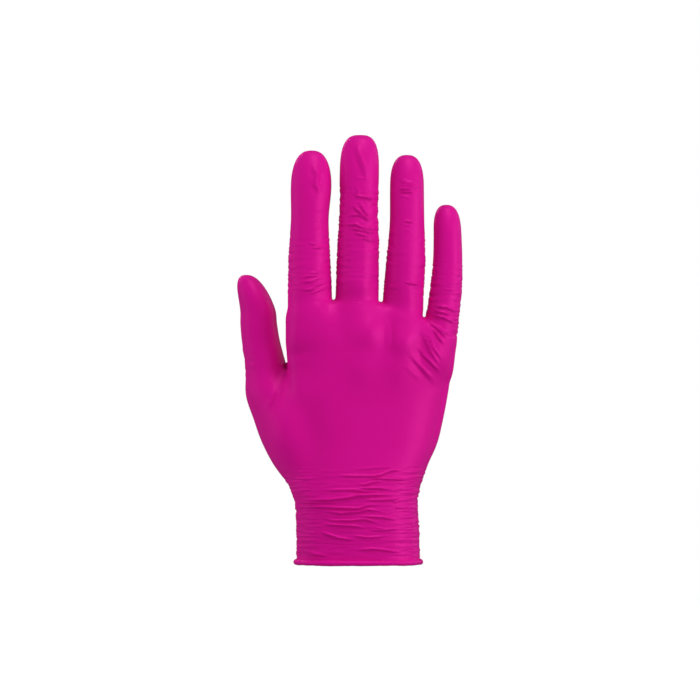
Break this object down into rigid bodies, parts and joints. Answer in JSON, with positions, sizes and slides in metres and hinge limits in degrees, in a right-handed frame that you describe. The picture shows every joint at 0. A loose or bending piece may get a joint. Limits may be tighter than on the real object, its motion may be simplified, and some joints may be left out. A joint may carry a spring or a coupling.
{
  "type": "disposable exam glove",
  "caption": "Thin one-piece film glove in the form it has on a right hand, hollow from its fingertips to the wrist, with a short cuff that ends in a rolled bead.",
  "frame": {"origin": "middle of the cuff's mouth, level with the foot of the rolled bead", "axes": "+Z from the cuff to the fingertips; -Y out of the back of the hand, +Y out of the palm; +X towards the little finger, -X towards the thumb"},
  "size_m": [0.1219, 0.0503, 0.2322],
  "materials": {
    "nitrile": "smooth satin film, one colour all through"
  },
  "bodies": {
    "root": {"glove": "nitrile"}
  },
  "joints": []
}
